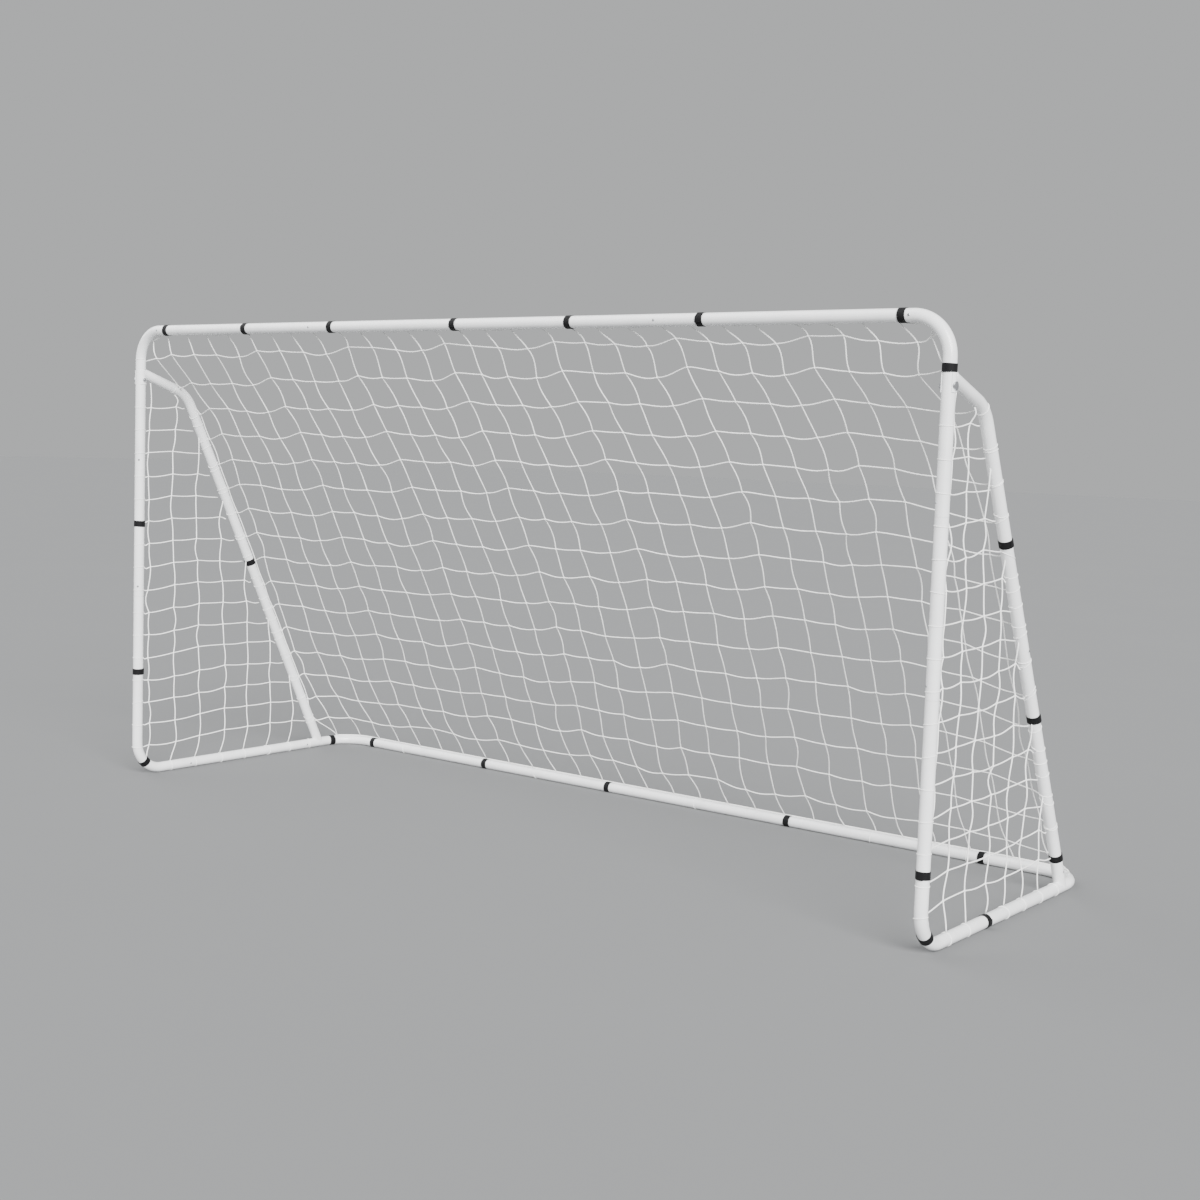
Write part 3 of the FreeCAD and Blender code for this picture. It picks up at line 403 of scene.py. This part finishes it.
# ---------------------------------------------------------------- the back net
def lagrange(t, at, values):
    """The parabola through three (at, value) pairs."""
    (a, b, c), (p, q, r) = at, values
    return (p * (t - b) * (t - c) / ((a - b) * (a - c)) + q * (t - a) * (t - c) / ((b - a) * (b - c))
            + r * (t - a) * (t - b) / ((c - a) * (c - b)))


def edge_knots(side, heights):
    """Knots of the back net's edge: on the inner back of the post, then down the brace."""
    x = side * (post_x(heights) - 0.72 * CLEAR)
    on_post = heights > TOP_Z - BRACE_HEAD_DROP - 0.01
    y = np.where(on_post, FRONT_Y, brace_y(heights)) + 0.72 * CLEAR
    return np.stack([x, y, heights], axis=-1)


def back_knots():
    """Every knot of the back net, (column, row, xyz), and the ends of its rows on the braces. In the
    slope's own plane a knot lies at x and s, the distance down the slope. The rows hang lower to the
    left, and open out towards the ground. Each fourth column hangs highest, because the straps lift
    the net there. On their way down the left part's columns drift left by a mesh, and the right part's
    columns drift right by one. The outer columns hang just inside the rows' ends, and further in along
    the first row."""
    n = np.arange(COLUMNS + 1)[:, None].astype(float)
    m = np.arange(ROWS + 1)[None, :].astype(float)
    half = COLUMNS / 2
    spread = (0.0, half, float(COLUMNS))
    first = lagrange(n, spread, (0.118, 0.083, 0.072))
    eighth = lagrange(n, spread, (1.005, 0.903, 0.860))
    last = lagrange(n, spread, (2.022, 1.984, 2.040))
    s = lagrange(m, (1.0, 8.0, 16.0), (first, eighth, last))
    lifted = ((n - 1) % 4) / 3
    s = s + (lifted - 0.5) * 0.024 * (1 - 0.35 * m / ROWS) * (m > 0)
    rightward = np.clip(m / 6, 0, 1) ** 0.7 * np.clip((n - 15) / 8, 0, 1)
    leftward = np.clip((m - 5) / 9, 0, 1) * np.clip((12 - n) / 8, 0, 1)
    place = n + rightward - leftward
    x_top = -POST_X + 0.012 + 0.1204 * place
    x_low = -POST_X + 0.018 + 0.1147 * place + 0.0093 * np.clip(place - 25, 0, None) ** 2
    share = m / ROWS
    across = place / COLUMNS
    drift = 0.128 * 4 * across * (1 - across) * np.sin(math.pi * np.clip(share * 1.12, 0, 1)) ** 0.8
    x = x_top * (1 - share) + x_low * share + drift + 0.02 * 4 * across * (1 - across) * share * (1 - share)
    x = x + 0.022 * (m == 1)
    x = np.clip(x, -POST_X + 0.02 + 0.03 * share, POST_X - 0.03) + rng.normal(0, 0.0022, x.shape)
    s = s + rng.normal(0, 0.0022, s.shape)
    down = np.array([0, DEPTH, GROUND_Z - TOP_Z]) / SLOPE
    out = np.array([0, TOP_Z - GROUND_Z, DEPTH]) / SLOPE
    knots = np.array([0, FRONT_Y, TOP_Z]) + s[:, :, None] * down
    knots[:, :, 0] = x
    sag = -0.030 * np.sin(math.pi * share) * np.sin(math.pi * across) + rng.normal(0, 0.003, x.shape)
    knots += sag[:, :, None] * out
    heights_left = np.interp(m[0], (0, 1, 8, 16, 17), (1.775, 1.691, 0.972, 0.125, 0.055))
    heights_right = np.interp(m[0], (0, 1, 2, 3, 8, 16, 17),
                              (1.792, 1.762, 1.662, 1.560, 1.030, 0.130, 0.055))
    edges = (edge_knots(-1, heights_left), edge_knots(1, heights_right))
    for side, edge in ((0, edges[0]), (COLUMNS, edges[1])):
        meshes = (POST_X + (x if side == 0 else -x)[:, 1:]) / 0.12
        reach = np.exp(-meshes / (2.3 - 1.8 * share[:, 1:] ** 3))
        pull = edge[:, 1:] - (knots[side, :, 1:])
        knots[:, 1:, 1:] += reach[:, :, None] * pull[None, 1:]
        knots[side] = edge
    top_x = np.clip(knots[:, 0, 0], -POST_X + 0.05, POST_X - 0.05)
    knots[:, 0, 0] = top_x
    knots[:, 0, 1] = FRONT_Y + 0.94 * CLEAR
    knots[:, 0, 2] = crossbar_z(top_x) - 0.34 * CLEAR - 0.006 * lifted[:, 0]
    low_x = knots[:, -1, 0] - 0.062 * np.exp(-n[:, 0] / 6)
    low_x = np.clip(low_x, -POST_X + 0.012, POST_X - 0.012)
    knots[:, -1, 0] = low_x
    knots[:, -1, 1] = rear_bar_y(low_x) + 0.35 * CLEAR
    knots[:, -1, 2] = GROUND_Z + 0.94 * CLEAR
    ends = knots[[0, -1]]
    hang = np.where(m[0, 1:-1] == 1, 0.4, 0.07)[:, None]
    knots[0, 1:-1] += hang * (knots[1, 1:-1] - ends[0, 1:-1])
    knots[-1, 1:-1] += hang * (knots[-2, 1:-1] - ends[1, 1:-1])
    return knots, ends


def knot_rings(pile, centres, first, second, radius=0.0027):
    """A small ring of twine round each crossing, in the plane of first and second."""
    turn = np.linspace(0, 2 * math.pi, 9)[None, :, None]
    path = centres[:, None] + radius * (first[:, None] * np.cos(turn) + second[:, None] * np.sin(turn))
    pile.cord(path, TWINE * 0.72, 5, hint=np.cross(first, second)[:, None])


def back_net():
    """The sloping net: columns, rows, a rope along each bar and a knot at each crossing."""
    knots, ends = back_knots()
    pile = Pile()
    steps = 6
    columns = through(knots, steps)
    sway = rng.normal(0, 0.0035, (COLUMNS + 1, ROWS))
    sway += 0.005 * ((np.arange(COLUMNS + 1) - 1) % 4 == 0)[:, None]
    columns = bowed(columns, steps, sway, (1, 0, 0))
    columns = bowed(columns, steps, rng.normal(0, 0.003, sway.shape), (0, 0.83, 0.55))
    pile.cord(columns, TWINE, 8)
    rows = np.swapaxes(np.concatenate([ends[:1], knots, ends[1:]])[:, 1:-1], 0, 1)
    dips = -np.abs(rng.normal(0.0032, 0.0022, (ROWS - 1, COLUMNS + 2)))
    dips[:, [0, -1]] = 0
    strands = bowed(through(rows, steps), steps, dips, (0, 0, 1))
    pile.cord(strands, TWINE, 8, hint=(0.05, 0.6, 0.8))
    for edge, swing in ((knots[:, 0], 0.010), (knots[:, -1], 0.0)):
        rope = bowed(through(edge[None], steps), steps,
                     -np.abs(rng.normal(swing / 2, swing / 4 + 1e-6, (1, COLUMNS))), (0, 0, 1))
        pile.cord(rope, TWINE * 1.15, 8, hint=(0.05, 0.6, 0.8))
    inner = knots[:, 1:-1].reshape(-1, 3)
    along = np.broadcast_to(unit((1, 0.35, -0.75)), inner.shape)
    out = np.broadcast_to(unit((0, TOP_Z - GROUND_Z, DEPTH)), inner.shape)
    knot_rings(pile, inner, along, out)
    return pile, ends


# ---------------------------------------------------------------- the straps' places
def islands(node):
    """The vertices of each separate solid in a CAD node, as arrays, found through shared corners."""
    mesh = frame["nodes"][node].data
    points = np.empty(len(mesh.vertices) * 3)
    mesh.vertices.foreach_get("co", points)
    points = points.reshape(-1, 3)
    edges = np.empty(len(mesh.edges) * 2, dtype=np.int64)
    mesh.edges.foreach_get("vertices", edges)
    spots, where = np.unique(np.round(points, 5), axis=0, return_inverse=True)
    where = where.ravel()
    edges = where[edges.reshape(-1, 2)]
    label = np.arange(len(spots))
    while True:
        low = np.minimum(label[edges[:, 0]], label[edges[:, 1]])
        fresh = label.copy()
        np.minimum.at(fresh, edges[:, 0], low)
        np.minimum.at(fresh, edges[:, 1], low)
        fresh = fresh[fresh]
        if (fresh == label).all():
            break
        label = fresh
    return [spots[label == number] for number in np.unique(label)]


def ring_frame(points):
    """Centre and axis of a band: its thinnest direction, and the circle that fits it best."""
    middle = points.mean(axis=0)
    _, _, ways = np.linalg.svd(points - middle, full_matrices=False)
    axis, across, up = ways[2], ways[0], ways[1]
    if abs(axis).max() > 0.9999:
        axis = np.round(axis)
    flat = np.stack([(points - middle) @ across, (points - middle) @ up], axis=1)
    table = np.column_stack([2 * flat, np.ones(len(flat))])
    fit = np.linalg.lstsq(table, (flat ** 2).sum(axis=1), rcond=None)[0]
    along = (points - middle) @ axis
    return middle + fit[0] * across + fit[1] * up + axis * (along.min() + along.max()) / 2, axis


STRAP_GROUPS = ("crossbar_straps", "rear_bar_straps", "left_post_straps", "right_post_straps",
                "brace_straps", "corner_straps", "side_tube_strap")
STRAPS = {group: [ring_frame(band) for band in islands(group)] for group in STRAP_GROUPS}
STRAP_CENTRES = np.array([centre for rings in STRAPS.values() for centre, axis in rings])


# ---------------------------------------------------------------- loops round the tubes
def loops(pile, centres, axes, starts, lean=0.25):
    """A turn of twine round a tube at each centre that no strap covers. The loop starts at its start
    direction, leans along the tube's axis by a random amount, and closes again a little further along."""
    centres, axes, starts = (np.atleast_2d(np.asarray(a, float)) for a in (centres, axes, starts))
    away = np.linalg.norm(centres[:, None] - STRAP_CENTRES[None], axis=2).min(axis=1)
    keep = (away > 0.024) & (centres[:, 2] < TOP_Z - TOP_BEND)
    centres, axes = centres[keep], np.broadcast_to(axes, (len(keep), 3))[keep]
    if not len(centres):
        return
    count = max(len(centres), len(axes), len(starts))
    centres, axes, starts = (np.broadcast_to(a, (count, 3)) for a in (centres, axes, starts))
    starts = starts - axes * np.sum(starts * axes, axis=1, keepdims=True)
    starts = starts / np.linalg.norm(starts, axis=1, keepdims=True)
    sides = np.cross(axes, starts)
    turn = np.linspace(0, 2 * math.pi, 29)[None, :, None]
    tilt = rng.normal(0, lean, (count, 1, 1))
    shift = rng.normal(0, 0.35, (count, 1, 1))
    slide = LOOP_RADIUS * (tilt * np.sin(turn + shift) + 0.10 * (turn / math.pi - 1))
    path = (centres[:, None] + LOOP_RADIUS * (starts[:, None] * np.cos(turn) + sides[:, None] * np.sin(turn))
            + axes[:, None] * slide)
    pile.cord(path, LOOP_TWINE, 7, hint=axes[:, None])


# ---------------------------------------------------------------- the side nets
def side_warp(side, y, z, seed):
    """How far a side net's knot strays from its square lattice: (x, y, z), slow waves in y and z."""
    deep = np.clip((y - FRONT_Y) / 0.9, 0, 1)
    dz = 0.055 * deep * (1 - 0.5 * deep) + 0.006 * np.sin(9 * y + 4 * z + seed)
    dy = 0.010 * np.sin(3.1 * z + seed) + 0.005 * np.sin(8.3 * z + 5 * y + 2 * seed)
    dx = side * (-0.010 - 0.012 * np.sin(2.6 * z + 3 * y + seed))
    return dx, dy, dz


def side_point(side, y, z, seed, held):
    """Points of a side net. held is 1 where the twine is tied to a tube and 0 where it hangs free."""
    dx, dy, dz = side_warp(side, y, z, seed)
    free = 1 - held
    return np.stack([side * POST_X + dx * free, y + dy * free, z + dz * free], axis=-1)


def side_net(side):
    """The net between post, brace and side tube: rows, columns, a knot at each crossing, loops."""
    pile = Pile()
    seed = 1.7 if side < 0 else 4.2
    steps = 6
    columns_y = FRONT_Y + np.array(SIDE_COLUMNS)
    rows_z = SIDE_TOP_ROW - SIDE_ROW * np.arange(SIDE_ROWS)
    crossings = []
    for z in rows_z:
        end_y = float(brace_y(z + 0.03)) - 1.1 * CLEAR
        inner = columns_y[columns_y < end_y - 0.018]
        y = np.concatenate([[FRONT_Y + CLEAR], inner, [end_y]])
        held = np.concatenate([[1.0], np.full(len(inner), 0.0), [0.6]])
        if len(inner):
            held[1] = 0.55
        knots = side_point(side, y, np.full_like(y, z), seed, held)
        knots[1:-1] += rng.normal(0, 0.0022, knots[1:-1].shape)
        crossings.append((inner, knots))
        dips = -np.abs(rng.normal(0.003, 0.002, (1, len(y) - 1)))
        pile.cord(bowed(through(knots[None], steps), steps, dips, (0, 0, 1)), TWINE, 8, hint=(0.9, 0.1, 0.4))
        if len(inner):
            spots = knots[1:-1]
            knot_rings(pile, spots, np.broadcast_to(unit((0, 1, 0.8)), spots.shape),
                       np.broadcast_to((1.0, 0, 0), spots.shape))
    for number, y in enumerate(columns_y):
        through_rows = [knots[1 + number] for inner, knots in crossings if len(inner) > number]
        if not through_rows:
            continue
        top_y = max(y, float(FRONT_Y + CLEAR))
        top_z = float(brace_z(top_y)) - (1.05 if number < 2 else 1.5) * CLEAR
        if top_z - through_rows[0][2] < 0.012:
            top = []
        else:
            top = [side_point(side, np.array(top_y), np.array(top_z), seed, np.array(1.0))]
        low = side_point(side, np.array(y), np.array(side_rail_z(y) + CLEAR), seed, np.array(1.0))
        knots = np.array(top + through_rows + [low])
        sway = rng.normal(0, 0.0035, (1, len(knots) - 1))
        path = bowed(through(knots[None], steps), steps, sway, (0, 1, 0))
        path = bowed(path, steps, rng.normal(0, 0.004, sway.shape), (1, 0, 0))
        pile.cord(path, TWINE, 8, hint=(0.9, 0.3, 0.1))
    row_ends = np.array([[side * POST_X, FRONT_Y, z] for z in rows_z])
    loops(pile, row_ends, (0, 0, 1), (0, 1, 0), lean=0.10)
    brace_ends = np.array([[side * POST_X, float(brace_y(z + 0.03)), z + 0.03] for z in rows_z[1:]])
    loops(pile, brace_ends, brace_axes(brace_ends[:, 2]), (0, -1, 0.2), lean=0.35)
    low_y = columns_y[1:]
    low = np.stack([np.full_like(low_y, side * POST_X), low_y, side_rail_z(low_y)], axis=-1)
    loops(pile, low, (0, 1, 0), (0, 0, 1), lean=0.2)
    return pile


# ---------------------------------------------------------------- the hook-and-loop straps
def strap(pile, centre, axis, tail_side):
    """One strap: a flat band with rounded edges wound once round the tube, its end lapped over its
    start. The radius is the tube's, and steps up by one thickness over the lap."""
    width, thick, lap = 0.0240, 0.0014, 0.9
    away = unit(np.cross(axis, (0.0, 0.0, 1.0)) if abs(axis[2]) < 0.9 else np.cross(axis, (1.0, 0.0, 0.0)))
    away = away * tail_side
    other = np.cross(axis, away)
    turn = np.linspace(-lap / 2, 2 * math.pi + lap / 2, 84)
    rise = np.clip((turn - 2 * math.pi + lap / 2 + 0.25) / 0.25, 0, 1)
    rise = rise * rise * (3 - 2 * rise)
    lift = 0.0005 * np.clip((turn - 2 * math.pi - lap / 2 + 0.16) / 0.16, 0, 1) ** 2
    radius = TUBE + 0.0003 + (thick + 0.0002) * rise + lift
    corner = np.array([(-1, 0.15), (-0.94, 0), (0.94, 0), (1, 0.15),
                       (1, 0.85), (0.94, 1), (-0.94, 1), (-1, 0.85)])
    radial = away * np.cos(turn)[:, None] + other * np.sin(turn)[:, None]
    wander = 0.0006 * np.sin(turn * 1.3 + centre[0])
    points = (centre + radial[:, None] * (radius[:, None, None] + thick * corner[None, :, 1, None])
              + axis * (wander[:, None, None] + corner[None, :, 0, None] * width / 2))
    points[:, :, 2] = np.maximum(points[:, :, 2], 0.0002)
    length = turn * (TUBE + thick)
    across = np.concatenate([corner[:, 0], corner[:1, 0]]) * width / 2
    pile.grid(points[None], length[None], across)


def straps():
    """Every group of straps, each group standing for its CAD node."""
    for group, rings in STRAPS.items():
        pile = Pile()
        for number, (centre, axis) in enumerate(rings):
            strap(pile, centre, axis, 1 if number % 2 else -1)
        piece = pile.make(group + "_tape", TAPE, "strap", [group])
        piece.data.shade_flat()


# ---------------------------------------------------------------- welds
def head_weld(side):
    """The weld bead under a brace head: the curve where the brace's tube meets the saddle, with a
    ripple every few millimetres. It stops short of the strap over the brace."""
    turn = np.linspace(0.70 * math.pi, 2.30 * math.pi, 121)
    up = np.cross(HEAD_BACK, (1.0, 0.0, 0.0))
    up = up * np.sign(up[2])
    sideways = TUBE * np.cos(turn)
    depth = np.sqrt(SADDLE_RADIUS ** 2 - sideways ** 2) + 0.0006
    along = (depth - TUBE * np.sin(turn) * up[1]) / HEAD_BACK[1]
    head = np.array([side * POST_X, FRONT_Y, TOP_Z - BRACE_HEAD_DROP])
    path = (head + sideways[:, None] * (1.0, 0.0, 0.0) + TUBE * np.sin(turn)[:, None] * up
            + along[:, None] * HEAD_BACK)
    ripple = 0.0021 + 0.00028 * np.sin(turn * 34) + 0.0002 * np.sin(turn * 5)
    pile = Pile()
    pile.cord(path[None], ripple[None], 9, hint=HEAD_BACK)
    name = "left" if side < 0 else "right"
    pile.make(f"{name}_brace_head_weld", COAT, "coated_tube")


# ---------------------------------------------------------------- assembly
def finish_cad_nodes():
    """Better finishes in the CAD nodes' own slots."""
    wanted = {"coated_tube": COAT, "strap": TAPE, "net": CORD, "zinc_steel": ZINC, "spring_steel": SPRING}
    slots = {part["node"]: part["material_slot"] for part in frame["record"]["subparts"]}
    for node, piece in frame["nodes"].items():
        for holder in piece.material_slots:
            holder.material = wanted[slots[node]]


def nets():
    """The three nets, each standing for its CAD panel."""
    pile, ends = back_net()
    for side, edge in zip((-1, 1), ends[:, 1:-1]):
        on_post = edge[:, 2] > TOP_Z - BRACE_HEAD_DROP - 0.01
        depths = np.where(on_post, FRONT_Y, brace_y(edge[:, 2]))
        centres = np.stack([np.full(len(edge), side * POST_X), depths, edge[:, 2]], axis=-1)
        low = centres[~on_post]
        loops(pile, centres[on_post], (0, 0, 1), (-side, 0.9, 0.2), lean=0.12)
        loops(pile, low, brace_axes(low[:, 2]), (-side, 0.9, 0.2), lean=0.4)
    for x in (-1.40, -0.62, 0.20, 0.98, 1.36):
        loops(pile, (x, REAR_Y, GROUND_Z), (1, 0, 0), (0, 0.3, 1), lean=0.3)
    pile.make("back_net_twine", CORD, "net", ["back_net"])
    side_net(-1).make("left_side_net_twine", CORD, "net", ["left_side_net"])
    side_net(1).make("right_side_net_twine", CORD, "net", ["right_side_net"])


def stage():
    """A wide pale floor, even light from all round and two soft suns."""
    mesh = bpy.data.meshes.new("floor")
    reach = 60.0
    mesh.from_pydata([(-reach, -reach, 0), (reach, -reach, 0), (reach, reach, 0), (-reach, reach, 0)], [],
                     [(0, 1, 2, 3)])
    mesh.materials.append(pale_floor())
    floor = bpy.data.objects.new("floor", mesh)
    bpy.context.scene.collection.objects.link(floor)
    world = bpy.data.worlds.new("studio")
    world.use_nodes = True
    world.node_tree.nodes["Background"].inputs[0].default_value = (0.985, 1.0, 1.008, 1)
    world.node_tree.nodes["Background"].inputs[1].default_value = 0.512
    bpy.context.scene.world = world
    lamps = [("key", (0.75, -0.60, 0.50), 40, 9.2), ("side", (-1.0, -0.35, 0.80), 60, 3.0)]
    for name, place, spread, power in lamps:
        lamp = bpy.data.lights.new(name, "SUN")
        lamp.angle = math.radians(spread)
        lamp.energy = power
        holder = bpy.data.objects.new(name, lamp)
        holder.rotation_euler = (-Vector(place)).to_track_quat("-Z", "Y").to_euler()
        bpy.context.scene.collection.objects.link(holder)


def camera():
    """The main view: from the front right, a little above the crossbar's middle."""
    yaw, pitch, roll = (math.radians(a) for a in (-37.67, -5.29, 1.97))
    ahead = Vector((math.sin(yaw) * math.cos(pitch), math.cos(yaw) * math.cos(pitch), math.sin(pitch)))
    level = ahead.cross(Vector((0, 0, 1))).normalized()
    upright = level.cross(ahead)
    right = level * math.cos(roll) + upright * math.sin(roll)
    up = upright * math.cos(roll) - level * math.sin(roll)
    lens = bpy.data.cameras.new("main view")
    lens.sensor_width = 36.0
    lens.lens = 36.0 * 1.4163
    holder = bpy.data.objects.new("main view", lens)
    turn = Matrix((right, up, -ahead)).transposed().to_4x4()
    holder.matrix_world = Matrix.Translation((3.918, FRONT_Y - 4.306, 1.427)) @ turn
    bpy.context.scene.collection.objects.link(holder)
    bpy.context.scene.camera = holder


finish_cad_nodes()
nets()
straps()
head_weld(-1)
head_weld(1)
stage()
camera()
